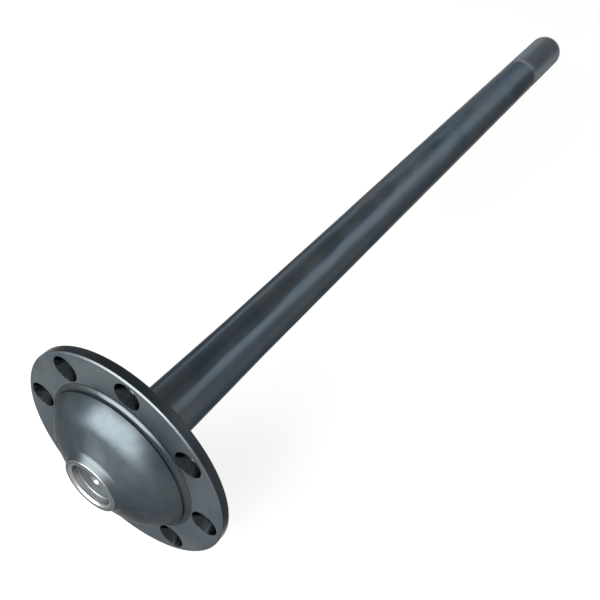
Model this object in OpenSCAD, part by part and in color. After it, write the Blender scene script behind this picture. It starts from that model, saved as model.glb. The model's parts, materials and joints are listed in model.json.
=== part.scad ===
// Full-floating axle shaft, forged and turned in one piece.
// A domed drive flange bolts to the wheel hub, and a long round shaft runs inboard
// to a splined end that slides into the side gear of the differential.
// The shaft lies along +Y. The origin is the centre of the flange's hub-side face.

/* [Flange] */
// Outside diameter of the flange
flange_d = 190; // [172:1:220]
// Thickness of the flange rim
flange_t = 9; // [7:0.5:14]
// Chamfer on both edges of the rim
rim_chamfer = 1.2; // [0.4:0.1:2]

/* [Bolt holes] */
// Number of bolt holes
bolt_count = 8; // [4:1:12]
// Distance from the rim to the centre of each hole
bolt_edge = 15; // [13:0.5:18]
// Diameter of each hole at the hub side
bolt_hole_d = 15.5; // [12:0.5:17]
// Mouth diameter of the cone that seats each stud's sleeve
bolt_seat_d = 22; // [19:0.5:23]
// Length of the straight hole below that cone
bolt_land = 2; // [1.5:0.5:4]
// Turn of the first hole round the shaft, in degrees
bolt_turn = 13.7; // [0:0.1:45]

/* [Crown] */
// Flat land between each hole and the turned corner at the foot of the crown
hole_land = 1; // [0.8:0.1:4]
// Lean of the crown's side at its foot, in degrees from the shaft's axis
crown_lean = 30; // [24:1:34]
// Radius of the rounded shoulder
crown_shoulder_r = 36; // [30:0.5:40]
// Slope of the crown's top, in degrees
crown_slope = 23; // [19:0.5:24]
// Radius of the turned corner at the foot of the crown
corner_r = 4.5; // [2:0.5:5]
// Ledge left where the turned corner meets the forged crown
ledge_w = 1; // [0.4:0.1:1.6]

/* [Nose] */
// Diameter of the nose at its lip
nose_d = 47; // [44:0.5:50]
// Height of the nose above the crown's sloping top, at the radius of its lip
nose_h = 3.57; // [2:0.01:9.5]
// Draft of the nose's flank, in degrees
nose_draft = 38; // [20:1:42]
// Radius of the fillet at the foot of the nose
nose_fillet_r = 6; // [2:0.5:8]
// Radius of the nose's outer lip
lip_r = 1.5; // [0.5:0.1:2]
// Diameter of the recess at its floor
recess_d = 35; // [28:1:36]
// Depth of the recess
recess_depth = 6.5; // [4:0.5:9]
// Draft of the recess wall, in degrees
recess_draft = 12; // [4:1:16]
// Radius of the corner between the recess wall and its floor
recess_corner_r = 1.6; // [0.5:0.1:2.5]
// Chamfer at the mouth of the recess
recess_chamfer = 1.4; // [0.4:0.1:1.8]

/* [Lathe centres] */
// Mouth diameter of the centre hole at each end
centre_d = 9; // [7:0.5:11]
// Diameter of the pilot drilling
centre_pilot_d = 4; // [2.5:0.5:5]
// Depth of the pilot drilling below the face
centre_depth = 12; // [10:0.5:16]

/* [Hub side] */
// Wall left between the crown's side and the dish that clears the spindle nut
dish_wall = 6.5; // [4:0.5:9]
// Depth of the dish below the hub-side face
dish_depth = 16; // [12:0.5:18]
// Radius of the dish's outer corner
dish_corner_r = 7; // [4:0.5:9]
// Radius of the fillet between the dish and the shaft's neck
neck_fillet_r = 14; // [8:0.5:16]

/* [Shaft] */
// Diameter of the shaft
shaft_d = 45; // [40:0.5:50]
// Length from the hub-side face to the splined end
shaft_len = 892; // [600:1:1200]
// How much the neck's radius exceeds the shaft's
neck_flare = 1.5; // [0.5:0.1:2.5]
// Length of the straight neck beyond the hub-side face
neck_len = 20; // [10:1:40]
// Length over which the neck tapers down to the shaft
taper_len = 130; // [60:5:200]

/* [Spline] */
// Number of teeth
spline_teeth = 42; // [36:1:46]
// Length of the full-depth teeth
spline_len = 95; // [60:1:140]
// Length over which the tooth spaces run out
spline_runout = 14; // [8:1:24]
// Depth of the tooth spaces
spline_depth = 1.3; // [1:0.1:1.5]
// Relief of the tooth tips below the shaft's surface
spline_relief = 0.1; // [0.05:0.05:0.4]
// Slope of each flank from the radial line, in degrees
spline_flank = 37.5; // [30:0.5:40]
// Chamfer at the end of the spline
end_chamfer = 2.4; // [1.5:0.1:4]

/* [Hidden] */
$fn = 128;

flange_r = flange_d / 2;
bolt_hole_r = bolt_hole_d / 2;
bolt_seat_r = bolt_seat_d / 2;
bolt_circle_r = flange_r - bolt_edge;
// The turned corner ends at the holes' land, and the crown stands inside its ledge
corner_foot_r = bolt_circle_r - bolt_seat_r - hole_land;
crown_r = corner_foot_r - corner_r - ledge_w;
dish_r = crown_r - dish_wall;
nose_r = nose_d / 2;
recess_r = recess_d / 2;
centre_r = centre_d / 2;
centre_pilot_r = centre_pilot_d / 2;
shaft_r = shaft_d / 2;
neck_r = shaft_r + neck_flare;

// Axial places, measured from the hub-side face towards the splined end
face_y = -flange_t;
ledge_y = face_y - corner_r;
runout_y = shaft_len - spline_len - spline_runout;

// The shoulder's arc leaves the ledge at the lean, and the sloping top leaves the arc
shoulder_x = crown_r - crown_shoulder_r * cos(crown_lean);
shoulder_y = ledge_y + crown_shoulder_r * sin(crown_lean);
top_x = shoulder_x + crown_shoulder_r * sin(crown_slope);
top_y = shoulder_y - crown_shoulder_r * cos(crown_slope);

// The nose's end stands above the crown's top, and the recess goes down from it
lip_y = crown_top_y(nose_r) - nose_h;
recess_floor_y = lip_y + recess_depth;

// How far the shoulder's arc is bedded below the ledge
crown_bed = 0.4;

// The point where the nose's flank meets the crown's top, and the turn between the two
foot_x = (nose_r + (crown_top_y(0) - lip_y) * tan(nose_draft)) / (1 - tan(crown_slope) * tan(nose_draft));
foot_y = crown_top_y(foot_x);
foot_turn = 90 - nose_draft - crown_slope;
// Unit vectors from that point, up the flank and down the crown's top
flank_up = -[sin(nose_draft), cos(nose_draft)];
top_down = [cos(crown_slope), sin(crown_slope)];

// Spline radii
spline_tip_r = shaft_r - spline_relief;
spline_root_r = spline_tip_r - spline_depth;
spline_pitch_r = (spline_tip_r + spline_root_r) / 2;
// How far a tooth is bedded in the core, and drawn past its tip before that is turned
tooth_bed = 0.25;
tooth_over = 0.04;

// A pocket is cut this far past the surface that it opens through
cut_over = 1;
// Flank slope of a 60 degree lathe centre
centre_half_angle = 30;
// Point angle of a twist drill, halved
drill_half_angle = 59;

// Axial place of the crown's sloping top at a radius
function crown_top_y(x) = top_y - (top_x - x) * tan(crown_slope);

// Half the thickness of a spline tooth at a radius
function tooth_half(r) =
    PI * spline_pitch_r / (2 * spline_teeth) - (r - spline_pitch_r) * tan(spline_flank);

// The sections below are drawn as radius across and axial place up.

module flange_section() {
    polygon([
        [0, face_y],
        [flange_r - rim_chamfer, face_y],
        [flange_r, face_y + rim_chamfer],
        [flange_r, -rim_chamfer],
        [flange_r - rim_chamfer, 0],
        [0, 0]
    ]);
}

// Turned corner between the flange face and the crown, with its ledge
module corner_section() {
    ledge_r = crown_r + ledge_w;
    translate([0, ledge_y]) square([ledge_r, corner_r]);
    difference() {
        translate([ledge_r, ledge_y]) square(corner_r);
        translate([corner_foot_r, ledge_y]) circle(corner_r);
    }
}

// Domed crown: a side that leans in from the ledge, a wide rounded shoulder and a sloping top
module crown_section() {
    arc_top_y = shoulder_y - crown_shoulder_r;
    polygon([
        [0, face_y],
        [crown_r, face_y],
        [crown_r, ledge_y],
        [top_x, top_y],
        [nose_r, crown_top_y(nose_r)],
        [0, crown_top_y(nose_r)]
    ]);
    intersection() {
        translate([shoulder_x, shoulder_y]) circle(crown_shoulder_r);
        translate([shoulder_x, arc_top_y])
            square([crown_r + ledge_w - shoulder_x, ledge_y + crown_bed - arc_top_y]);
    }
}

// Drafted nose on the crown, with a filleted foot and a rounded lip
module nose_section() {
    foot = [foot_x, foot_y];
    fillet_run = nose_fillet_r * tan(foot_turn / 2);
    fillet_foot = foot + fillet_run * top_down;
    centre = fillet_foot + nose_fillet_r * [sin(crown_slope), -cos(crown_slope)];
    lip_run = lip_r * tan(45 - nose_draft / 2);
    polygon([
        [0, face_y],
        [foot_x, face_y],
        foot,
        [nose_r, lip_y] - lip_run * flank_up,
        [nose_r - lip_run, lip_y],
        [0, lip_y]
    ]);
    translate([nose_r - lip_run, lip_y + lip_r]) circle(lip_r);
    difference() {
        polygon([
            foot + fillet_run * flank_up,
            centre,
            fillet_foot,
            foot
        ]);
        translate(centre) circle(nose_fillet_r);
    }
}

// Shaft with its tapered neck, and the core that the spline teeth stand on
module shaft_section() {
    polygon([
        [0, -dish_depth],
        [neck_r, -dish_depth],
        [neck_r, neck_len],
        [shaft_r, neck_len + taper_len],
        [shaft_r, runout_y],
        [spline_root_r, runout_y + spline_runout],
        [spline_root_r, shaft_len],
        [0, shaft_len]
    ]);
}

// Dish behind the crown, round the shaft's neck
module dish_section() {
    polygon([
        [neck_r, cut_over],
        [dish_r, cut_over],
        [dish_r, dish_corner_r - dish_depth],
        [dish_r - dish_corner_r, -dish_depth],
        [neck_r + neck_fillet_r, -dish_depth],
        [neck_r, neck_fillet_r - dish_depth]
    ]);
    translate([dish_r - dish_corner_r, dish_corner_r - dish_depth]) circle(dish_corner_r);
    translate([neck_r + neck_fillet_r, neck_fillet_r - dish_depth]) circle(neck_fillet_r);
}

// Recess in the nose, with a rounded floor corner, a drafted wall and a chamfered mouth
module recess_section() {
    chamfer_y = lip_y + recess_chamfer;
    mouth_x = recess_r + (recess_depth - recess_chamfer) * tan(recess_draft);
    corner_run = recess_corner_r * tan(45 - recess_draft / 2);
    polygon([
        [0, lip_y - cut_over],
        [mouth_x + recess_chamfer + cut_over, lip_y - cut_over],
        [mouth_x, chamfer_y],
        [recess_r, recess_floor_y] + corner_run * [sin(recess_draft), -cos(recess_draft)],
        [recess_r - corner_run, recess_floor_y],
        [0, recess_floor_y]
    ]);
    translate([recess_r - corner_run, recess_floor_y - recess_corner_r]) circle(recess_corner_r);
}

// Centre hole that opens at axial place 0 and goes up the axis
module centre_section() {
    cone_depth = (centre_r - centre_pilot_r) / tan(centre_half_angle);
    mouth_over = cut_over * tan(centre_half_angle);
    polygon([
        [0, -cut_over],
        [centre_r + mouth_over, -cut_over],
        [centre_pilot_r, cone_depth],
        [centre_pilot_r, centre_depth],
        [0, centre_depth + centre_pilot_r / tan(drill_half_angle)]
    ]);
}

module forging_section() {
    difference() {
        union() {
            flange_section();
            corner_section();
            crown_section();
            nose_section();
            shaft_section();
        }
        dish_section();
        recess_section();
        translate([0, recess_floor_y]) centre_section();
        translate([0, shaft_len]) mirror([0, 1]) centre_section();
    }
}

// One spline tooth, pointing along +X
module tooth_outline() {
    inner_r = spline_root_r - tooth_bed;
    outer_r = spline_tip_r + tooth_over;
    polygon([
        [inner_r, -tooth_half(inner_r)],
        [outer_r, -tooth_half(outer_r)],
        [outer_r, tooth_half(outer_r)],
        [inner_r, tooth_half(inner_r)]
    ]);
}

// Teeth of the spline, as a ring round the core
module spline_teeth_ring() {
    translate([0, 0, runout_y]) linear_extrude(shaft_len - runout_y)
        difference() {
            intersection() {
                circle(spline_tip_r);
                union() {
                    circle(spline_root_r);
                    for (i = [0 : spline_teeth - 1])
                        rotate(360 / spline_teeth * i) tooth_outline();
                }
            }
            circle(centre_r + cut_over);
        }
}

// Bolt holes, each a cone that seats a sleeve above a short straight hole
module bolt_holes() {
    seat_h = flange_t - bolt_land;
    mouth_over = cut_over * (bolt_seat_r - bolt_hole_r) / seat_h;
    for (i = [0 : bolt_count - 1])
        rotate(bolt_turn + 360 / bolt_count * i) translate([bolt_circle_r, 0, face_y - cut_over]) {
            cylinder(r = bolt_hole_r, h = flange_t + 2 * cut_over);
            cylinder(r1 = bolt_seat_r + mouth_over, r2 = bolt_hole_r, h = seat_h + cut_over);
        }
}

// Ring that chamfers the end of the spline
module end_chamfer_ring() {
    inner_x = shaft_r - end_chamfer - cut_over;
    outer_x = shaft_r + cut_over;
    rotate_extrude() polygon([
        [inner_x, shaft_len + cut_over],
        [outer_x, shaft_len - end_chamfer - cut_over],
        [outer_x, shaft_len + cut_over]
    ]);
}

module axle_shaft() {
    color("#5a646d") rotate([-90, 0, 0]) difference() {
        union() {
            rotate_extrude() forging_section();
            spline_teeth_ring();
        }
        bolt_holes();
        end_chamfer_ring();
    }
}

axle_shaft();
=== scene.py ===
"""Full-floating axle shaft, dressed for a studio view.

One steel forging: a drive flange with bolt holes, a domed crown, a recessed nose, a dish on the hub
side, a long tapered bar and a splined end. Every zone is turned or cut as on the real part, and gets
the finish that its making leaves. The colours of the rim, the turned corner and the bolt holes also hold
painted shade, and those of the recess floor and its bored wall painted light and painted highlight.
"""

import json
import logging
import math
from dataclasses import dataclass
from enum import Enum
from functools import partial

import bmesh
import bpy
from mathutils import Matrix, Vector


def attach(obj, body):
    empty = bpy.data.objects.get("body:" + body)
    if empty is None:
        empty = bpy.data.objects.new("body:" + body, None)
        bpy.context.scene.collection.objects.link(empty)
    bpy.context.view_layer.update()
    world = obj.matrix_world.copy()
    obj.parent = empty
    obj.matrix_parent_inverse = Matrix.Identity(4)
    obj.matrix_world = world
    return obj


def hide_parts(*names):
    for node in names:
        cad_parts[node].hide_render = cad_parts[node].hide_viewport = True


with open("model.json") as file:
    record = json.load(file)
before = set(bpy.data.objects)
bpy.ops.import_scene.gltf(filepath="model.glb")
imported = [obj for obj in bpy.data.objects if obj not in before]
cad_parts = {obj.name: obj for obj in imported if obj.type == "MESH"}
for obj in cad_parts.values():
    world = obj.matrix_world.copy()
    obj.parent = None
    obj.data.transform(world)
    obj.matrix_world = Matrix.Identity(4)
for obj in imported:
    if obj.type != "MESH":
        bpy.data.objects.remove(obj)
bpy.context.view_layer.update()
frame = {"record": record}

LOG = logging.getLogger("axle_shaft")
MM = 0.001
AXIS = Vector((0.0, 1.0, 0.0))
ORIGIN = Vector((0.0, 0.0, 0.0))
FULL_TURN = 2.0 * math.pi
QUARTER_TURN = math.pi / 2.0

# Places that are closer than this along the shaft are the same place
SAME = 1e-6

BODY = "root"
NODE = "axle_shaft"

# Bolt pattern of the mount that holds the flange on its hub
HUB_BOLTS = next(mount["dims"] for mount in frame["record"]["mounts"] if mount["name"] == "hub_bolts")

# Teeth of the spline, and the points that one tooth pitch is drawn with
TEETH = 42
TOOTH_POINTS = 8

# Segments in a full turn of every zone, so that the zones meet vertex to vertex
TURN_STEPS = TEETH * TOOTH_POINTS
TURN_STEP = FULL_TURN / TURN_STEPS

Mesh = bmesh.types.BMesh
Vert = bmesh.types.BMVert
Socket = bpy.types.NodeSocket
Colour = tuple[float, float, float]
Span = tuple[float, float]


class Zone(Enum):
    """Zones of the forging's surface, numbered as its material slots."""

    TURNED_FACE = 0
    RIM = 1
    CROWN = 2
    NOSE = 3
    RECESS = 4
    BORE = 5
    DISH = 6
    BAR = 7
    SPLINE = 8
    LIP = 9
    BORED = 10
    CORNER = 11


class Pattern(Enum):
    """Marks that making a zone leaves on it."""

    LATHE_RINGS = "lathe_rings"
    FORGED_SKIN = "forged_skin"
    DRAWN_STREAKS = "drawn_streaks"


def last_vert(swept: dict[str, list]) -> Vert:
    """Returns the vertex at which a spin of one vertex ends."""
    return next(item for item in swept["geom_last"] if isinstance(item, Vert))


class SectionPen:
    """Draws half a section as a wire: radius along X, place along the shaft on Y."""

    # Stretches in a softened corner
    SOFT_STEPS = 3

    def __init__(self, radius: float, along: float) -> None:
        """Starts the wire at a point.

        Args:
            radius: Radius of the first point.
            along: Place of the first point along the shaft.
        """
        self.mesh = bmesh.new()
        self.tip = self.mesh.verts.new((radius, along, 0.0))
        self.corners: list[tuple[Vert, float]] = []

    def line(self, radius: float, along: float, soften: float = 0.0, steps: int = 1) -> None:
        """Draws a straight line to a point.

        Args:
            radius: Radius of the line's end.
            along: Place of the line's end along the shaft.
            soften: Length taken off the corner at the line's end, on both sides of it.
            steps: Number of equal stretches in the line.
        """
        start = self.tip.co.copy()
        end = Vector((radius, along, 0.0))
        for step in range(1, steps + 1):
            grown = bmesh.ops.extrude_vert_indiv(self.mesh, verts=[self.tip])
            self.tip = grown["verts"][0]
            self.tip.co = start.lerp(end, step / steps)
        if soften > 0.0:
            self.corners.append((self.tip, soften))

    def arc(self, radius: float, along: float, turn: float, steps: int) -> None:
        """Draws an arc from the tip.

        Args:
            radius: Radius of the arc's centre.
            along: Place of the arc's centre along the shaft.
            turn: Angle of the arc in radians, positive from +X towards +Y.
            steps: Number of stretches in the arc.
        """
        swept = bmesh.ops.spin(
            self.mesh,
            geom=[self.tip],
            cent=(radius, along, 0.0),
            axis=(0.0, 0.0, 1.0),
            angle=turn,
            steps=steps,
        )
        self.tip = last_vert(swept)

    def spin(self, zone: Zone, steps: int = TURN_STEPS) -> Mesh:
        """Rounds the softened corners and spins the wire round the shaft's axis.

        Args:
            zone: Zone that the new surface belongs to.
            steps: Number of segments in the full turn.

        Returns:
            The spun surface, which the caller frees.
        """
        for size in sorted({soften for _, soften in self.corners}):
            bmesh.ops.bevel(
                self.mesh,
                geom=[vert for vert, soften in self.corners if soften == size],
                offset=size,
                affect="VERTICES",
                segments=self.SOFT_STEPS,
                profile=0.5,
                material=-1,
            )
        bmesh.ops.spin(
            self.mesh,
            geom=self.mesh.verts[:] + self.mesh.edges[:],
            cent=ORIGIN,
            axis=AXIS,
            angle=FULL_TURN,
            steps=steps,
            use_merge=True,
        )
        for face in self.mesh.faces:
            face.material_index = zone.value
        return self.mesh


@dataclass(frozen=True)
class DriveFlange:
    """Rim, faces and bolt holes of the drive flange."""

    radius: float = 95.0 * MM
    thickness: float = 9.0 * MM
    rim_chamfer: float = 1.2 * MM
    rim_soften: float = 0.35 * MM
    rim_margin: float = 0.6 * MM
    bolt_count: int = HUB_BOLTS["count"]
    bolt_circle: float = HUB_BOLTS["pcd_mm"] / 2.0 * MM
    hole_radius: float = HUB_BOLTS["hole_r_mm"] * MM
    hole_turn: float = math.radians(13.7)
    seat_radius: float = 11.0 * MM
    seat_depth: float = 7.0 * MM
    hole_soften: float = 0.12 * MM
    hole_margin: float = 0.4 * MM
    hole_steps: int = 96

    @property
    def face(self) -> float:
        """Place of the outboard face along the shaft."""
        return -self.thickness

    @property
    def land_outer(self) -> float:
        """Radius at which both flat faces end and the rim's edge begins."""
        return self.radius - self.rim_chamfer - self.rim_margin

    @property
    def share(self) -> float:
        """Angle of one bolt hole's share of the flange."""
        return FULL_TURN / self.bolt_count

    def rim(self) -> Mesh:
        """Spins the rim with its two chamfers; the outboard one is turned with the face and takes its
        colour, and the rest takes the rim's darker colour, which is painted shade.

        Returns:
            The rim's surface, which the caller frees.
        """
        inner = self.radius - self.rim_chamfer
        pen = SectionPen(self.land_outer, self.face)
        pen.line(inner, self.face, self.rim_soften)
        pen.line(self.radius, self.face + self.rim_chamfer, self.rim_soften)
        pen.line(self.radius, -self.rim_chamfer, self.rim_soften)
        pen.line(inner, 0.0, self.rim_soften)
        pen.line(self.land_outer, 0.0)
        rim = pen.spin(Zone.RIM)
        # The rim zone's dark colour is painted shade; the outboard chamfer keeps the face's colour
        for face in rim.faces:
            if face.calc_center_median().y < self.face + self.rim_chamfer:
                face.material_index = Zone.TURNED_FACE.value
        return rim

    def bolt_hole(self) -> Mesh:
        """Spins one bolt hole, with its sleeve's seat, and moves it out to the bolt circle.

        Returns:
            The hole's surface, which the caller frees.
        """
        pen = SectionPen(self.seat_radius + self.hole_margin, self.face)
        pen.line(self.seat_radius, self.face, self.hole_soften)
        pen.line(self.hole_radius, self.face + self.seat_depth, self.hole_soften)
        pen.line(self.hole_radius, 0.0, self.hole_soften)
        pen.line(self.hole_radius + self.hole_margin, 0.0)
        # The bore zone's very dark colour is painted shade inside the hole
        hole = pen.spin(Zone.BORE, self.hole_steps)
        turn = Matrix.Rotation(self.hole_turn, 3, "Y")
        bmesh.ops.rotate(hole, cent=ORIGIN, matrix=turn, verts=hole.verts)
        bmesh.ops.translate(hole, vec=turn @ Vector((self.bolt_circle, 0.0, 0.0)), verts=hole.verts)
        return hole

    def land(self, hole: Mesh, along: float, inner: float) -> None:
        """Fills a hole's share of a flat face, between the hole's mouth and the share's outline.

        Args:
            hole: Mesh of the spun hole, which gains the faces.
            along: Place of the flat face along the shaft.
            inner: Radius at which the flat face begins.
        """
        mouth = [
            edge
            for edge in hole.edges
            if edge.is_boundary and all(abs(vert.co.y - along) < SAME for vert in edge.verts)
        ]
        segments = TURN_STEPS // self.bolt_count
        start = round((self.hole_turn - self.share / 2.0) / TURN_STEP) * TURN_STEP
        point = Matrix.Rotation(start, 3, "Y") @ Vector((inner, along, 0.0))
        first = hole.verts.new(point)
        tip = self._sweep(hole, first, self.share, segments)
        tip = self._radial(hole, tip, self.land_outer / inner)
        tip = self._sweep(hole, tip, -self.share, segments)
        tip = self._radial(hole, tip, inner / self.land_outer)
        bmesh.ops.pointmerge(hole, verts=[first, tip], merge_co=point)
        outline = [edge for edge in hole.edges if edge.is_wire]
        filled = bmesh.ops.triangle_fill(hole, use_beauty=True, edges=mouth + outline)
        for item in filled["geom"]:
            if isinstance(item, bmesh.types.BMFace):
                item.material_index = Zone.TURNED_FACE.value

    @staticmethod
    def _sweep(mesh: Mesh, tip: Vert, turn: float, steps: int) -> Vert:
        """Sweeps a vertex round the shaft's axis and returns the last vertex."""
        return last_vert(bmesh.ops.spin(mesh, geom=[tip], cent=ORIGIN, axis=AXIS, angle=turn, steps=steps))

    @staticmethod
    def _radial(mesh: Mesh, tip: Vert, reach: float) -> Vert:
        """Extrudes a vertex towards or away from the axis.

        Args:
            mesh: Mesh that the vertex belongs to.
            tip: Vertex to start from.
            reach: Radius of the new vertex, as a multiple of the old one's.

        Returns:
            The new vertex.
        """
        end = bmesh.ops.extrude_vert_indiv(mesh, verts=[tip])["verts"][0]
        bmesh.ops.scale(mesh, vec=(reach, 1.0, reach), verts=[end])
        return end

    def lands(self, front_inner: float, back_inner: float) -> Mesh:
        """Makes both flat faces with all their bolt holes.

        Args:
            front_inner: Radius at which the outboard face begins.
            back_inner: Radius at which the hub-side face begins.

        Returns:
            The faces and the holes, which the caller frees.
        """
        sector = self.bolt_hole()
        self.land(sector, self.face, front_inner)
        self.land(sector, 0.0, back_inner)
        bmesh.ops.spin(
            sector,
            geom=sector.verts[:] + sector.edges[:] + sector.faces[:],
            cent=ORIGIN,
            axis=AXIS,
            angle=FULL_TURN - self.share,
            steps=self.bolt_count - 1,
            use_duplicate=True,
        )
        return sector


@dataclass(frozen=True)
class LatheCentre:
    """Centre hole that a lathe holds the forging by."""

    mouth: float = 4.5 * MM
    pilot: float = 2.0 * MM
    depth: float = 12.0 * MM
    cone_half_angle: float = math.radians(30.0)
    drill_half_angle: float = math.radians(59.0)

    def hole(self, face: float, inward: float) -> Mesh:
        """Spins the hole.

        Args:
            face: Place along the shaft of the face that the hole opens in.
            inward: 1 if the hole goes towards +Y from that face, and -1 if it goes towards -Y.

        Returns:
            The hole's surface, which the caller frees.
        """
        cone = (self.mouth - self.pilot) / math.tan(self.cone_half_angle)
        point = self.depth + self.pilot / math.tan(self.drill_half_angle)
        pen = SectionPen(0.0, face + inward * point)
        pen.line(self.pilot, face + inward * self.depth)
        pen.line(self.pilot, face + inward * cone)
        pen.line(self.mouth, face)
        # The bored zone's pale colour is machined steel and also a painted glint in the centre hole
        return pen.spin(Zone.BORED)


@dataclass(frozen=True)
class Crown:
    """Domed crown on the flange, with the turned corner at its foot."""

    flange: DriveFlange
    radius: float = 62.5 * MM
    lean: float = math.radians(30.0)
    shoulder: float = 36.0 * MM
    slope: float = math.radians(23.0)
    corner: float = 4.5 * MM
    ledge: float = 1.0 * MM
    shoulder_steps: int = 28
    slope_steps: int = 4
    corner_steps: int = 16

    @property
    def ledge_place(self) -> float:
        """Place of the ledge along the shaft."""
        return self.flange.face - self.corner

    @property
    def foot(self) -> float:
        """Radius at which the turned corner runs into the flange face."""
        return self.radius + self.ledge + self.corner

    @property
    def shoulder_centre(self) -> Vector:
        """Centre of the shoulder's arc, as radius and place."""
        radius = self.radius - self.shoulder * math.cos(self.lean)
        return Vector((radius, self.ledge_place + self.shoulder * math.sin(self.lean)))

    @property
    def top_out(self) -> Vector:
        """Direction straight out of the sloping top, as radius and place."""
        return Vector((math.sin(self.slope), -math.cos(self.slope)))

    @property
    def top_start(self) -> Vector:
        """Point where the shoulder runs into the sloping top, as radius and place."""
        return self.shoulder_centre + self.shoulder * self.top_out

    def top_at(self, radius: float) -> float:
        """Place of the sloping top along the shaft, at a radius."""
        start = self.top_start
        return start.y - (start.x - radius) * math.tan(self.slope)

    def dome(self, inner: float) -> Mesh:
        """Spins the sloping top and the shoulder, down to the ledge.

        Args:
            inner: Radius at which the sloping top begins.

        Returns:
            The dome's surface, which the caller frees.
        """
        start = self.top_start
        centre = self.shoulder_centre
        pen = SectionPen(inner, self.top_at(inner))
        pen.line(start.x, start.y, steps=self.slope_steps)
        pen.arc(centre.x, centre.y, QUARTER_TURN - self.slope - self.lean, self.shoulder_steps)
        return pen.spin(Zone.CROWN)

    def turned_corner(self) -> Mesh:
        """Spins the ledge and the round corner that leads to the flange face, in a zone whose darker
        colour is painted shade in the corner.

        Returns:
            The corner's surface, which the caller frees.
        """
        pen = SectionPen(self.radius, self.ledge_place)
        pen.line(self.radius + self.ledge, self.ledge_place)
        pen.arc(self.foot, self.ledge_place, -QUARTER_TURN, self.corner_steps)
        return pen.spin(Zone.CORNER)


@dataclass(frozen=True)
class Nose:
    """Drafted nose on the crown, with a recess in its end."""

    crown: Crown
    radius: float = 23.5 * MM
    height: float = 32.5 * MM
    draft: float = math.radians(38.0)
    fillet: float = 6.0 * MM
    lip: float = 1.5 * MM
    recess: float = 17.5 * MM
    recess_depth: float = 6.5 * MM
    recess_draft: float = math.radians(12.0)
    recess_corner: float = 1.6 * MM
    recess_chamfer: float = 1.4 * MM
    edge_soften: float = 0.3 * MM
    edge_margin: float = 0.8 * MM
    fillet_steps: int = 12
    lip_steps: int = 10
    corner_steps: int = 10

    @property
    def end(self) -> float:
        """Place of the nose's end along the shaft."""
        return self.crown.flange.face - self.height

    @property
    def floor(self) -> float:
        """Place of the recess floor along the shaft."""
        return self.end + self.recess_depth

    @property
    def mouth(self) -> float:
        """Radius of the recess wall where the chamfer at its mouth begins."""
        return self.recess + (self.recess_depth - self.recess_chamfer) * math.tan(self.recess_draft)

    @property
    def ring_inner(self) -> float:
        """Radius at which the flat end begins, past the softened edge of the chamfer."""
        return self.mouth + self.recess_chamfer + self.edge_margin

    @property
    def flank_foot(self) -> Vector:
        """Point where the flank would meet the crown's top without a fillet.

        Returns:
            The point, as radius and place.
        """
        lean = math.tan(self.draft)
        rise = self.crown.top_at(0.0) - self.end
        radius = (self.radius + rise * lean) / (1.0 - math.tan(self.crown.slope) * lean)
        return Vector((radius, self.crown.top_at(radius)))

    @property
    def fillet_turn(self) -> float:
        """Angle of the fillet's arc."""
        return QUARTER_TURN - self.draft - self.crown.slope

    @property
    def fillet_run(self) -> float:
        """Length that the fillet takes off the flank and off the crown's top."""
        return self.fillet * math.tan(self.fillet_turn / 2.0)

    @property
    def foot(self) -> Vector:
        """Point where the fillet runs into the crown's top, as radius and place."""
        down = Vector((math.cos(self.crown.slope), math.sin(self.crown.slope)))
        return self.flank_foot + self.fillet_run * down

    @property
    def lip_centre(self) -> Vector:
        """Centre of the lip's arc, as radius and place."""
        run = self.lip * math.tan((QUARTER_TURN - self.draft) / 2.0)
        return Vector((self.radius - run, self.end + self.lip))

    @property
    def corner_centre(self) -> Vector:
        """Centre of the round corner in the recess, as radius and place."""
        run = self.recess_corner * math.tan((QUARTER_TURN - self.recess_draft) / 2.0)
        return Vector((self.recess - run, self.floor - self.recess_corner))

    def cup(self, inner: float) -> Mesh:
        """Spins the recess's floor and its round corner, whose light colour is rough forged skin and also
        painted light.

        Args:
            inner: Radius at which the floor begins.

        Returns:
            The cup's surface, which the caller frees.
        """
        corner = self.corner_centre
        pen = SectionPen(inner, self.floor)
        pen.line(corner.x, self.floor)
        pen.arc(corner.x, corner.y, self.recess_draft - QUARTER_TURN, self.corner_steps)
        return pen.spin(Zone.RECESS)

    def bored_wall(self) -> Mesh:
        """Spins the recess's drafted wall and the chamfer at its mouth, whose pale colour is bright
        machined steel and also a painted highlight.

        Returns:
            The wall's surface, which the caller frees.
        """
        out = Vector((math.cos(self.recess_draft), math.sin(self.recess_draft)))
        start = self.corner_centre + self.recess_corner * out
        pen = SectionPen(start.x, start.y)
        pen.line(self.mouth, self.end + self.recess_chamfer, self.edge_soften)
        pen.line(self.mouth + self.recess_chamfer, self.end, self.edge_soften)
        pen.line(self.ring_inner, self.end)
        return pen.spin(Zone.BORED)

    def lip_ring(self) -> Mesh:
        """Spins the nose's flat end and its rounded lip.

        Returns:
            The ring's surface, which the caller frees.
        """
        centre = self.lip_centre
        pen = SectionPen(self.ring_inner, self.end)
        pen.line(centre.x, self.end)
        pen.arc(centre.x, centre.y, QUARTER_TURN - self.draft, self.lip_steps)
        return pen.spin(Zone.LIP)

    def flank(self) -> Mesh:
        """Spins the nose's flank and the fillet at its foot.

        Returns:
            The flank's surface, which the caller frees.
        """
        up = Vector((-math.sin(self.draft), -math.cos(self.draft)))
        out = Vector((math.cos(self.draft), -math.sin(self.draft)))
        start = self.lip_centre + self.lip * out
        end = self.flank_foot + self.fillet_run * up
        centre = self.foot + self.fillet * self.crown.top_out
        pen = SectionPen(start.x, start.y)
        pen.line(end.x, end.y)
        pen.arc(centre.x, centre.y, -self.fillet_turn, self.fillet_steps)
        return pen.spin(Zone.NOSE)


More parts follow.
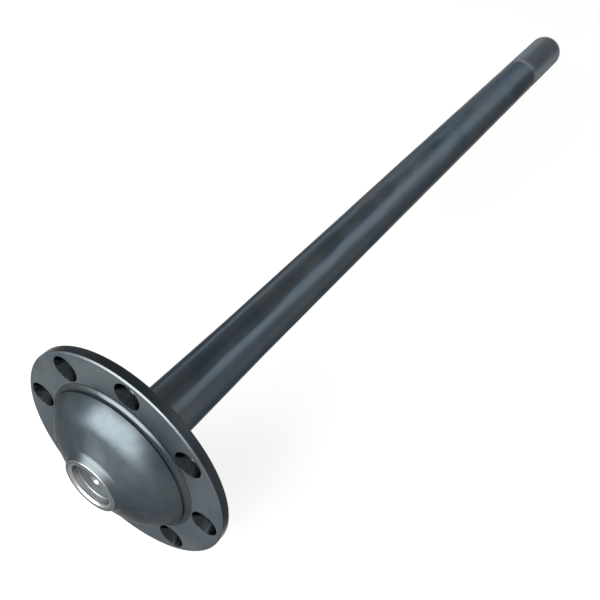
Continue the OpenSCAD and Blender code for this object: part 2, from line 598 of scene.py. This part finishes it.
@dataclass(frozen=True)
class HubDish:
    """Dish behind the crown, which clears the nut on the wheel spindle."""

    radius: float = 56.0 * MM
    depth: float = 16.0 * MM
    corner: float = 7.0 * MM
    neck_fillet: float = 14.0 * MM
    edge_soften: float = 0.5 * MM
    edge_margin: float = 1.0 * MM
    corner_steps: int = 12
    fillet_steps: int = 16

    @property
    def land_inner(self) -> float:
        """Radius at which the hub-side face begins."""
        return self.radius + self.edge_margin

    @property
    def neck_start(self) -> float:
        """Place along the shaft where the bar's neck leaves its fillet."""
        return self.neck_fillet - self.depth

    def hollow(self, neck: float) -> Mesh:
        """Spins the dish from the hub-side face to the bar's neck.

        Args:
            neck: Radius of the bar's neck.

        Returns:
            The dish's surface, which the caller frees.
        """
        pen = SectionPen(self.land_inner, 0.0)
        pen.line(self.radius, 0.0, self.edge_soften)
        pen.line(self.radius, self.corner - self.depth)
        pen.arc(self.radius - self.corner, self.corner - self.depth, -QUARTER_TURN, self.corner_steps)
        pen.line(neck + self.neck_fillet, -self.depth)
        pen.arc(neck + self.neck_fillet, self.neck_start, -QUARTER_TURN, self.fillet_steps)
        return pen.spin(Zone.DISH)


@dataclass(frozen=True)
class Bar:
    """Long round bar with its tapered neck."""

    radius: float = 22.5 * MM
    length: float = 892.0 * MM
    neck_flare: float = 1.5 * MM
    neck_length: float = 20.0 * MM
    taper_length: float = 130.0 * MM
    stretch_steps: int = 8

    @property
    def neck(self) -> float:
        """Radius of the neck."""
        return self.radius + self.neck_flare

    def outside(self, start: float, end: float) -> Mesh:
        """Spins the neck, the taper and the plain bar.

        Args:
            start: Place along the shaft where the neck leaves its fillet.
            end: Place along the shaft where the spline begins to run out.

        Returns:
            The bar's surface, which the caller frees.
        """
        pen = SectionPen(self.neck, start)
        pen.line(self.neck, self.neck_length)
        pen.line(self.radius, self.neck_length + self.taper_length, steps=self.stretch_steps)
        pen.line(self.radius, end, steps=self.stretch_steps)
        return pen.spin(Zone.BAR)


@dataclass(frozen=True)
class Spline:
    """Toothed end of the bar, which slides into the side gear."""

    bar: Bar
    length: float = 95.0 * MM
    runout: float = 14.0 * MM
    depth: float = 1.3 * MM
    relief: float = 0.1 * MM
    flank: float = math.radians(37.5)
    end_chamfer: float = 2.4 * MM
    runout_steps: int = 10
    body_steps: int = 4

    @property
    def start(self) -> float:
        """Place along the shaft where the tooth spaces begin to run out."""
        return self.bar.length - self.length - self.runout

    @property
    def tip(self) -> float:
        """Radius of the teeth's tips."""
        return self.bar.radius - self.relief

    @property
    def root(self) -> float:
        """Radius of the tooth spaces' floors."""
        return self.tip - self.depth

    def tooth_outline(self) -> list[tuple[float, float]]:
        """Works out one tooth pitch, with the points that its flanks and both its lands need.

        Returns:
            Angle and radius of each point, in order of angle.
        """
        middle = (self.tip + self.root) / 2.0
        half = math.pi * middle / (2.0 * TEETH)
        lean = math.tan(self.flank)
        side = [
            (math.asin((half - (radius - middle) * lean) / radius), radius)
            for radius in (self.tip, middle, self.root)
        ]
        pitch = FULL_TURN / TEETH
        far = [(pitch - angle, radius) for angle, radius in reversed(side)]
        return [(0.0, self.tip), *side, (pitch / 2.0, self.root), *far]

    def depth_limited(self, along: float, radius: float) -> float:
        """Limits a radius to the runout, which cuts less deep, and to the end chamfer.

        Args:
            along: Place along the shaft.
            radius: Radius in the full depth of the spline.

        Returns:
            The radius at that place.
        """
        ramp = self.bar.radius - (self.bar.radius - self.root) * (along - self.start) / self.runout
        chamfer = self.bar.radius - self.end_chamfer + self.bar.length - along
        return min(max(ramp, self.root, radius), chamfer)

    def point_rings(self, ring: Mesh, point: int) -> list[list[Vert]]:
        """Finds the vertices of one point of the tooth outline, on all teeth.

        Args:
            ring: Spun end of the bar.
            point: Number of the point in the outline.

        Returns:
            The vertices past the spline's start, in a list for each place along the shaft.
        """
        places: dict[int, list[Vert]] = {}
        for vert in ring.verts:
            turn = round(math.atan2(-vert.co.z, vert.co.x) / TURN_STEP)
            if turn % TOOTH_POINTS == point and vert.co.y > self.start + SAME:
                places.setdefault(round(vert.co.y / SAME), []).append(vert)
        return list(places.values())

    def teeth_ring(self) -> Mesh:
        """Spins the end of the bar and presses the tooth spaces into it.

        Returns:
            The toothed surface, which the caller frees.
        """
        pen = SectionPen(self.bar.radius, self.start)
        pen.line(self.bar.radius, self.start + self.runout, steps=self.runout_steps)
        pen.line(self.bar.radius, self.bar.length - self.end_chamfer, steps=self.body_steps)
        pen.line(self.bar.radius, self.bar.length, steps=self.body_steps)
        ring = pen.spin(Zone.SPLINE)
        for point, (angle, radius) in enumerate(self.tooth_outline()):
            swing = Matrix.Rotation(angle - point * TURN_STEP, 3, "Y")
            for verts in self.point_rings(ring, point):
                along = verts[0].co.y
                share = self.depth_limited(along, radius) / self.bar.radius
                bmesh.ops.scale(ring, vec=(share, 1.0, share), verts=verts)
                # The last ring is a plain circle, which the end face meets
                if along < self.bar.length - SAME:
                    bmesh.ops.rotate(ring, cent=ORIGIN, matrix=swing, verts=verts)
        return ring

    def end_face(self, inner: float) -> Mesh:
        """Spins the flat end inside the end chamfer.

        Args:
            inner: Radius at which the flat end begins.

        Returns:
            The end's surface, which the caller frees.
        """
        pen = SectionPen(self.bar.radius - self.end_chamfer, self.bar.length)
        pen.line(inner, self.bar.length)
        return pen.spin(Zone.TURNED_FACE)


@dataclass(frozen=True)
class AxleShaft:
    """The whole forging, from the nose to the splined end."""

    flange: DriveFlange
    crown: Crown
    nose: Nose
    centre: LatheCentre
    dish: HubDish
    bar: Bar
    spline: Spline
    weld: float = 2e-6
    sharp_angle: float = math.radians(28.0)

    def zones(self) -> list[Mesh]:
        """Makes the surfaces of all zones.

        Returns:
            The surfaces from the nose to the splined end, which the caller frees.
        """
        return [
            self.centre.hole(self.nose.floor, 1.0),
            self.nose.cup(self.centre.mouth),
            self.nose.bored_wall(),
            self.nose.lip_ring(),
            self.nose.flank(),
            self.crown.dome(self.nose.foot.x),
            self.crown.turned_corner(),
            self.flange.lands(self.crown.foot, self.dish.land_inner),
            self.flange.rim(),
            self.dish.hollow(self.bar.neck),
            self.bar.outside(self.dish.neck_start, self.spline.start),
            self.spline.teeth_ring(),
            self.spline.end_face(self.centre.mouth),
            self.centre.hole(self.bar.length, -1.0),
        ]

    def joined(self) -> Mesh:
        """Joins the zones to one closed mesh and marks its sharp edges.

        Returns:
            The forging's mesh, which the caller frees.
        """
        forging = bmesh.new()
        for surface in self.zones():
            part = bpy.data.meshes.new("zone")
            surface.to_mesh(part)
            surface.free()
            forging.from_mesh(part)
            bpy.data.meshes.remove(part)
        bmesh.ops.remove_doubles(forging, verts=forging.verts, dist=self.weld)
        bmesh.ops.dissolve_degenerate(forging, edges=forging.edges, dist=self.weld)
        bmesh.ops.recalc_face_normals(forging, faces=forging.faces)
        for face in forging.faces:
            face.smooth = True
        for edge in forging.edges:
            edge.smooth = edge.calc_face_angle(0.0) < self.sharp_angle
        return forging

    def build(self) -> bpy.types.Object:
        """Puts the forging in the scene.

        Returns:
            The forging's object, at the origin.
        """
        forging = self.joined()
        open_edges = sum(1 for edge in forging.edges if not edge.is_manifold)
        LOG.info("forging: %d faces, %d open edges", len(forging.faces), open_edges)
        mesh = bpy.data.meshes.new("forging")
        forging.to_mesh(mesh)
        forging.free()
        piece = bpy.data.objects.new("forging", mesh)
        bpy.context.scene.collection.objects.link(piece)
        even = piece.modifiers.new("even_normals", "WEIGHTED_NORMAL")
        even.keep_sharp = True
        return piece

    def dress(self, piece: bpy.types.Object, finishes: dict[Zone, "SteelFinish"]) -> None:
        """Gives each zone its finish, in the order of the material slots.

        Args:
            piece: Object of the forging.
            finishes: Finish of each zone.
        """
        marks = MarkGroups()
        for zone in Zone:
            piece.data.materials.append(finishes[zone].material(marks))


@dataclass(frozen=True)
class NodeDesk:
    """A node tree, with short ways to add and link its nodes."""

    tree: bpy.types.NodeTree

    def add(self, kind: str, **settings: str | bpy.types.NodeTree) -> bpy.types.Node:
        """Adds a node and sets its options.

        Args:
            kind: Type name of the node.
            settings: Options of the node, by their names.

        Returns:
            The node.
        """
        node = self.tree.nodes.new(kind)
        for option, value in settings.items():
            setattr(node, option, value)
        return node

    def feed(self, socket: Socket, source: Socket | float | tuple[float, ...]) -> None:
        """Links a source to a socket, or sets the socket to a constant.

        Args:
            socket: Input of a node.
            source: Output of another node, or the constant.
        """
        if isinstance(source, Socket):
            self.tree.links.new(source, socket)
        else:
            socket.default_value = source

    def math(self, operation: str, first: Socket | float, second: Socket | float) -> Socket:
        """Adds an operation on two values.

        Args:
            operation: Name of the operation.
            first: First value.
            second: Second value.

        Returns:
            The operation's result.
        """
        node = self.add("ShaderNodeMath", operation=operation)
        self.feed(node.inputs[0], first)
        self.feed(node.inputs[1], second)
        return node.outputs[0]

    def stretch(self, place: Socket, factors: tuple[float, float, float]) -> Socket:
        """Multiplies a vector by constant factors.

        Args:
            place: The vector.
            factors: A factor for each axis.

        Returns:
            The stretched vector.
        """
        node = self.add("ShaderNodeVectorMath", operation="MULTIPLY")
        self.feed(node.inputs[0], place)
        self.feed(node.inputs[1], factors)
        return node.outputs["Vector"]

    def divide(self, place: Socket, size: Socket) -> Socket:
        """Divides a vector by a size.

        Args:
            place: The vector.
            size: The size.

        Returns:
            The vector, measured in that size.
        """
        node = self.add("ShaderNodeVectorMath", operation="SCALE")
        self.feed(node.inputs[0], place)
        self.feed(node.inputs["Scale"], self.math("DIVIDE", 1.0, size))
        return node.outputs["Vector"]

    def split(self, place: Socket) -> bpy.types.NodeOutputs:
        """Splits a vector.

        Args:
            place: The vector.

        Returns:
            Its parts, as the outputs X, Y and Z.
        """
        node = self.add("ShaderNodeSeparateXYZ")
        self.feed(node.inputs[0], place)
        return node.outputs

    def noise(self, place: Socket, scale: float, detail: float, line: bool = False) -> Socket:
        """Adds noise.

        Args:
            place: Place that the noise is taken at, a vector or a number.
            scale: Patches of noise in one unit of the place.
            detail: Number of finer layers in the noise.
            line: Whether the noise runs along a line, with a number as its place, and not in space.

        Returns:
            The noise's value.
        """
        node = self.add("ShaderNodeTexNoise", noise_dimensions="1D" if line else "3D")
        self.feed(node.inputs["W" if line else "Vector"], place)
        self.feed(node.inputs["Scale"], scale)
        self.feed(node.inputs["Detail"], detail)
        return node.outputs["Fac"]

    def spread(self, value: Socket, source: Span, target: Span = (0.0, 1.0)) -> Socket:
        """Maps a range of values softly to another range.

        Args:
            value: Value to map.
            source: Range that the value comes from.
            target: Range that it goes to.

        Returns:
            The mapped value.
        """
        node = self.add("ShaderNodeMapRange", interpolation_type="SMOOTHSTEP")
        self.feed(node.inputs["Value"], value)
        for socket, limit in zip(node.inputs[1:5], (*source, *target)):
            self.feed(socket, limit)
        return node.outputs["Result"]


class MarkGroups:
    """Node groups for the marks that making and handling leave on the steel."""

    # Range of noise over which the oil film goes from thin to thick
    FILM_SPAN = (0.32, 0.68)

    # Tone patches in one pitch of the rings, the grain and the streaks
    RING_TONE = 0.16
    SKIN_TONE = 0.11
    STREAK_TONE = 0.25

    # Factors on the place, by axis, that draw the streaks and the waves out along the shaft
    STREAK_STRETCH = (1.0, 0.02, 1.0)
    WAVE_STRETCH = (1.0, 0.5, 1.0)

    # Waves in one pitch of the streaks, and the streaks' height as a share of the waves' height
    WAVE_SCALE = 0.05
    STREAK_HEIGHT = 0.006

    def __init__(self) -> None:
        """Builds one group for each pattern, and the one for the oil film."""
        self.film = self._film()
        self.patterns = {
            Pattern.LATHE_RINGS: self._lathe_rings(),
            Pattern.FORGED_SKIN: self._forged_skin(),
            Pattern.DRAWN_STREAKS: self._drawn_streaks(),
        }

    @staticmethod
    def _group(name: str, outputs: list[str]) -> tuple[NodeDesk, bpy.types.Node, bpy.types.Node]:
        """Makes an empty group that takes a place and a pitch.

        Args:
            name: Name of the group.
            outputs: Names of the values that the group gives out.

        Returns:
            The group's desk, its input node and its output node.
        """
        tree = bpy.data.node_groups.new(name, "ShaderNodeTree")
        tree.interface.new_socket("Place", in_out="INPUT", socket_type="NodeSocketVector")
        tree.interface.new_socket("Pitch", in_out="INPUT", socket_type="NodeSocketFloat")
        for output in outputs:
            tree.interface.new_socket(output, in_out="OUTPUT", socket_type="NodeSocketFloat")
        desk = NodeDesk(tree)
        return desk, desk.add("NodeGroupInput"), desk.add("NodeGroupOutput")

    def _film(self) -> bpy.types.NodeTree:
        """Builds the cloudy film of oil and handling.

        Returns:
            The group.
        """
        desk, given, result = self._group("oil_film", ["Film"])
        place = desk.divide(given.outputs["Place"], given.outputs["Pitch"])
        clouds = desk.noise(place, scale=1.0, detail=3.0)
        desk.feed(result.inputs["Film"], desk.spread(clouds, self.FILM_SPAN))
        return desk.tree

    def _lathe_rings(self) -> bpy.types.NodeTree:
        """Builds the fine rings of a turning tool, round the shaft's axis.

        Returns:
            The group.
        """
        desk, given, result = self._group("lathe_rings", ["Height", "Tone"])
        across = desk.add("ShaderNodeVectorMath", operation="LENGTH")
        desk.feed(across.inputs[0], desk.stretch(given.outputs["Place"], (1.0, 0.0, 1.0)))
        along = desk.split(given.outputs["Place"])["Y"]
        path = desk.math("ADD", across.outputs["Value"], along)
        turns = desk.math("DIVIDE", path, given.outputs["Pitch"])
        desk.feed(result.inputs["Height"], desk.noise(turns, scale=1.0, detail=2.0, line=True))
        desk.feed(result.inputs["Tone"], desk.noise(turns, scale=self.RING_TONE, detail=2.0, line=True))
        return desk.tree

    def _forged_skin(self) -> bpy.types.NodeTree:
        """Builds the fine grain and soft unevenness of a forged and blasted skin.

        Returns:
            The group.
        """
        desk, given, result = self._group("forged_skin", ["Height", "Tone"])
        place = desk.divide(given.outputs["Place"], given.outputs["Pitch"])
        desk.feed(result.inputs["Height"], desk.noise(place, scale=1.0, detail=3.0))
        desk.feed(result.inputs["Tone"], desk.noise(place, scale=self.SKIN_TONE, detail=4.0))
        return desk.tree

    def _drawn_streaks(self) -> bpy.types.NodeTree:
        """Builds the streaks along the bar, over the slow waves that straightening leaves in it.

        Returns:
            The group.
        """
        desk, given, result = self._group("drawn_streaks", ["Height", "Tone"])
        place = desk.divide(given.outputs["Place"], given.outputs["Pitch"])
        along = desk.stretch(place, self.STREAK_STRETCH)
        streaks = desk.math("MULTIPLY", desk.noise(along, scale=1.0, detail=2.0), self.STREAK_HEIGHT)
        waves = desk.noise(desk.stretch(place, self.WAVE_STRETCH), scale=self.WAVE_SCALE, detail=1.0)
        desk.feed(result.inputs["Height"], desk.math("ADD", waves, streaks))
        desk.feed(result.inputs["Tone"], desk.noise(along, scale=self.STREAK_TONE, detail=3.0))
        return desk.tree


@dataclass(frozen=True)
class SteelFinish:
    """Finish of one zone: its steel, its gloss and the marks of its making.

    The colour is that of clean steel, but in the rim, corner and bore zones it is darkened as painted
    shade, and in the recess and bored zones lightened as painted light as well. Contrast is the share of
    it that the marks and the film take off or add, warmth is how far they turn it from blue to brown, and
    gloss_spread is how far the film moves the roughness. Edge_tint dims the reflection at grazing angles,
    painted shade along the edges.
    """

    name: str
    colour: Colour
    roughness: float
    pattern: Pattern
    pitch: float
    relief: float
    # Dims the reflection at grazing angles: painted shade along the edges
    edge_tint: float = 0.5
    contrast: float = 0.16
    warmth: float = 0.05
    gloss_spread: float = 0.05
    film_size: float = 38.0 * MM

    # Range of the marks' tone that is used, and its share in the colour, of which the film has the rest
    TONE_SPAN = (0.3, 0.7)
    TONE_SHARE = 0.6

    def _tint(self, side: float) -> tuple[float, float, float, float]:
        """Colour at an end of the steel's range: -1 is dark and cool, and 1 is light and warm."""
        red, green, blue = (part * (1.0 + side * self.contrast) for part in self.colour)
        return red * (1.0 + side * self.warmth), green, blue * (1.0 - side * self.warmth), 1.0

    def material(self, marks: MarkGroups) -> bpy.types.Material:
        """Builds the finish as a material on Object coordinates.

        Args:
            marks: Node groups of the marks.

        Returns:
            The material.
        """
        material = bpy.data.materials.new(self.name)
        material.use_nodes = True
        desk = NodeDesk(material.node_tree)
        shader = material.node_tree.nodes["Principled BSDF"]
        place = desk.add("ShaderNodeTexCoord").outputs["Object"]
        made = desk.add("ShaderNodeGroup", node_tree=marks.patterns[self.pattern])
        film = desk.add("ShaderNodeGroup", node_tree=marks.film)
        for group, size in ((made, self.pitch), (film, self.film_size)):
            desk.feed(group.inputs["Place"], place)
            desk.feed(group.inputs["Pitch"], size)
        tone = desk.spread(made.outputs["Tone"], self.TONE_SPAN, (0.0, self.TONE_SHARE))
        cloud = desk.math("MULTIPLY", film.outputs["Film"], 1.0 - self.TONE_SHARE)
        shade = desk.add("ShaderNodeMix", data_type="RGBA")
        desk.feed(shade.inputs["Factor"], desk.math("ADD", tone, cloud))
        desk.feed(shade.inputs["A"], self._tint(-1.0))
        desk.feed(shade.inputs["B"], self._tint(1.0))
        desk.feed(shader.inputs["Base Color"], shade.outputs["Result"])
        ends = (self.roughness - self.gloss_spread, self.roughness + self.gloss_spread)
        desk.feed(shader.inputs["Roughness"], desk.spread(film.outputs["Film"], (0.0, 1.0), ends))
        bump = desk.add("ShaderNodeBump")
        desk.feed(bump.inputs["Strength"], 1.0)
        desk.feed(bump.inputs["Distance"], self.relief)
        desk.feed(bump.inputs["Height"], made.outputs["Height"])
        desk.feed(shader.inputs["Normal"], bump.outputs["Normal"])
        desk.feed(shader.inputs["Metallic"], 1.0)
        # The edge tint darkens grazing reflections, painted shade along the silhouettes
        desk.feed(shader.inputs["Specular Tint"], (self.edge_tint, self.edge_tint, self.edge_tint, 1.0))
        return material


# Finishes by how their zones are made
turned = partial(SteelFinish, pattern=Pattern.LATHE_RINGS)
forged = partial(SteelFinish, pattern=Pattern.FORGED_SKIN)
drawn = partial(SteelFinish, pattern=Pattern.DRAWN_STREAKS)

FINISHES = {
    Zone.TURNED_FACE: turned(
        "turned_face", (0.105, 0.126, 0.143), roughness=0.42, pitch=0.6 * MM, relief=0.002 * MM,
        contrast=0.09,
    ),
    # Rim: turned steel like the face, darkened as painted shade on the flange's edge
    Zone.RIM: turned(
        "turned_rim", (0.03, 0.036, 0.042), roughness=0.26, pitch=0.6 * MM, relief=0.004 * MM
    ),
    Zone.CROWN: forged(
        "forged_crown", (0.056, 0.07, 0.082), roughness=0.4, pitch=1.4 * MM, relief=0.012 * MM
    ),
    Zone.NOSE: turned(
        "turned_nose", (0.06, 0.074, 0.086), roughness=0.38, pitch=0.5 * MM, relief=0.004 * MM
    ),
    # Recess floor: rough forged skin, lightened as painted light on a floor that the recess wall shades
    Zone.RECESS: forged(
        "rough_recess", (0.14, 0.16, 0.175), roughness=0.48, pitch=1.2 * MM, relief=0.015 * MM
    ),
    # Bolt holes: a very dark colour, painted shade inside the holes
    Zone.BORE: turned(
        "drilled_bore", (0.027, 0.033, 0.038), roughness=0.2, pitch=0.4 * MM, relief=0.005 * MM
    ),
    Zone.DISH: forged(
        "forged_dish", (0.09, 0.106, 0.12), roughness=0.4, pitch=1.6 * MM, relief=0.02 * MM
    ),
    Zone.BAR: drawn(
        "drawn_bar", (0.051, 0.065, 0.079), roughness=0.2, pitch=1.6 * MM, relief=2.2 * MM,
        edge_tint=0.42, warmth=0.11,
    ),
    Zone.SPLINE: drawn(
        "cut_spline", (0.082, 0.096, 0.109), roughness=0.26, pitch=0.8 * MM, relief=0.06 * MM
    ),
    Zone.LIP: turned(
        "machined_lip", (0.17, 0.19, 0.206), roughness=0.3, pitch=0.3 * MM, relief=0.003 * MM
    ),
    # Recess wall, mouth chamfer and centre holes: bright machined steel, and also a painted highlight on
    # the mouth and a painted glint in the centre holes
    Zone.BORED: turned(
        "bored_wall", (0.3, 0.308, 0.32), roughness=0.4, pitch=0.4 * MM, relief=0.004 * MM
    ),
    # Corner: turned like the face but darker, painted shade in the concave corner at the crown's foot
    Zone.CORNER: turned(
        "turned_corner", (0.058, 0.07, 0.08), roughness=0.3, pitch=0.5 * MM, relief=0.003 * MM
    ),
}


@dataclass(frozen=True)
class PhotoCamera:
    """Camera at the photograph's viewing angle."""

    place: tuple[float, float, float] = (0.2923, -0.2338, 0.4581)
    azimuth: float = math.radians(35.02)
    elevation: float = math.radians(40.9)
    lens: float = 45.74
    sensor: float = 36.0
    shift_x: float = 0.0512
    shift_y: float = 0.0007
    nearest: float = 0.01
    farthest: float = 100.0

    def build(self) -> None:
        """Makes the camera and gives it to the scene."""
        data = bpy.data.cameras.new("photo_camera")
        data.lens = self.lens
        data.sensor_width = self.sensor
        data.shift_x = self.shift_x
        data.shift_y = self.shift_y
        data.clip_start = self.nearest
        data.clip_end = self.farthest
        camera = bpy.data.objects.new("photo_camera", data)
        camera.location = self.place
        camera.rotation_euler = (QUARTER_TURN - self.elevation, 0.0, self.azimuth)
        bpy.context.scene.collection.objects.link(camera)
        bpy.context.scene.camera = camera


@dataclass(frozen=True)
class Studio:
    """Plain white floor, one wide softbox and a pale room.

    The room's light goes by direction, with heights from -1 to 1. The walls brighten over back_span,
    towards the back, and over low_span, with the height. The ceiling starts over edge_span and dims over
    dim_span. Tilt lowers all heights towards +X.
    """

    floor_radius: float = 12.0
    floor_steps: int = 64
    floor_white: float = 0.88
    # Share of plain white in what the camera sees of the floor, where the rest is lit and holds the shadow
    floor_glow: float = 0.75
    key_place: tuple[float, float, float] = (-0.24, -1.23, 0.64)
    key_size: Span = (1.72, 1.55)
    key_power: float = 83.0
    key_colour: Colour = (1.0, 0.96, 0.89)
    tilt: float = 0.3
    front_wall: float = 0.85
    back_wall: float = 2.3
    back_span: Span = (0.25, 0.7)
    low_span: Span = (-0.1, 0.36)
    low_share: float = 0.3
    ceiling_edge: float = 0.88
    ceiling: float = 0.5
    edge_span: Span = (0.53, 0.61)
    dim_span: Span = (0.6, 0.9)

    def build(self, floor_level: float) -> None:
        """Makes the floor, the softbox and the room.

        Args:
            floor_level: Height of the floor.
        """
        self._floor(floor_level)
        self._softbox()
        self._room()

    def _floor(self, level: float) -> None:
        """Lays the floor, a wide disc.

        Args:
            level: Height of the floor.
        """
        disc = bmesh.new()
        bmesh.ops.create_circle(disc, cap_ends=True, segments=self.floor_steps, radius=self.floor_radius)
        bmesh.ops.translate(disc, vec=(0.0, 0.0, level), verts=disc.verts)
        mesh = bpy.data.meshes.new("floor")
        disc.to_mesh(mesh)
        disc.free()
        floor = bpy.data.objects.new("floor", mesh)
        bpy.context.scene.collection.objects.link(floor)
        mesh.materials.append(self._paper())

    def _paper(self) -> bpy.types.Material:
        """Builds the floor's paper, plain white in reflections, and near white with its shadow to the eye.

        Returns:
            The material.
        """
        material = bpy.data.materials.new("studio_paper")
        material.use_nodes = True
        material.node_tree.nodes.clear()
        desk = NodeDesk(material.node_tree)
        paper = desk.add("ShaderNodeBsdfDiffuse")
        desk.feed(paper.inputs["Color"], (self.floor_white, self.floor_white, self.floor_white, 1.0))
        glow = desk.add("ShaderNodeEmission")
        path = desk.add("ShaderNodeLightPath")
        seen = desk.math("MULTIPLY", path.outputs["Is Camera Ray"], self.floor_glow)
        seen = desk.math("ADD", seen, path.outputs["Is Glossy Ray"])
        seen = desk.math("ADD", seen, path.outputs["Is Transmission Ray"])
        blend = desk.add("ShaderNodeMixShader")
        desk.feed(blend.inputs[0], desk.math("MINIMUM", seen, 1.0))
        desk.feed(blend.inputs[1], paper.outputs[0])
        desk.feed(blend.inputs[2], glow.outputs[0])
        output = desk.add("ShaderNodeOutputMaterial")
        desk.feed(output.inputs["Surface"], blend.outputs[0])
        return material

    def _softbox(self) -> None:
        """Hangs the softbox in front of the flange, facing it."""
        lamp = bpy.data.lights.new("key_softbox", "AREA")
        lamp.shape = "RECTANGLE"
        lamp.size, lamp.size_y = self.key_size
        lamp.energy = self.key_power
        lamp.color = self.key_colour
        softbox = bpy.data.objects.new("key_softbox", lamp)
        softbox.location = self.key_place
        softbox.rotation_euler = (-Vector(self.key_place)).to_track_quat("-Z", "Y").to_euler()
        softbox.visible_camera = False
        bpy.context.scene.collection.objects.link(softbox)

    def _room(self) -> None:
        """Surrounds the scene with pale walls, brightest at the back, and a dimmer ceiling."""
        world = bpy.data.worlds.new("studio_room")
        bpy.context.scene.world = world
        world.use_nodes = True
        desk = NodeDesk(world.node_tree)
        direction = desk.split(desk.add("ShaderNodeTexCoord").outputs["Generated"])
        height = desk.math("SUBTRACT", direction["Z"], desk.math("MULTIPLY", direction["X"], self.tilt))
        low = desk.spread(height, self.low_span, (self.low_share, 1.0))
        glow = desk.math("MULTIPLY", desk.spread(direction["Y"], self.back_span), low)
        shade = desk.add("ShaderNodeMix", data_type="FLOAT")
        desk.feed(shade.inputs["Factor"], desk.spread(height, self.edge_span))
        desk.feed(shade.inputs["A"], desk.spread(glow, (0.0, 1.0), (self.front_wall, self.back_wall)))
        desk.feed(shade.inputs["B"], desk.spread(height, self.dim_span, (self.ceiling_edge, self.ceiling)))
        desk.feed(world.node_tree.nodes["Background"].inputs["Color"], shade.outputs["Result"])


def main() -> None:
    """Builds the axle shaft, its studio and its camera."""
    logging.basicConfig(level=logging.INFO, format="%(name)s: %(message)s")
    bpy.context.scene.view_settings.view_transform = "Standard"
    flange = DriveFlange()
    crown = Crown(flange)
    bar = Bar()
    shaft = AxleShaft(flange, crown, Nose(crown), LatheCentre(), HubDish(), bar, Spline(bar))
    piece = shaft.build()
    shaft.dress(piece, FINISHES)
    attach(piece, BODY)
    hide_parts(NODE)
    LOG.info("%s rides on %s and stands for %s", piece.name, BODY, NODE)
    Studio().build(-flange.radius)
    PhotoCamera().build()


if __name__ == "__main__":
    main()
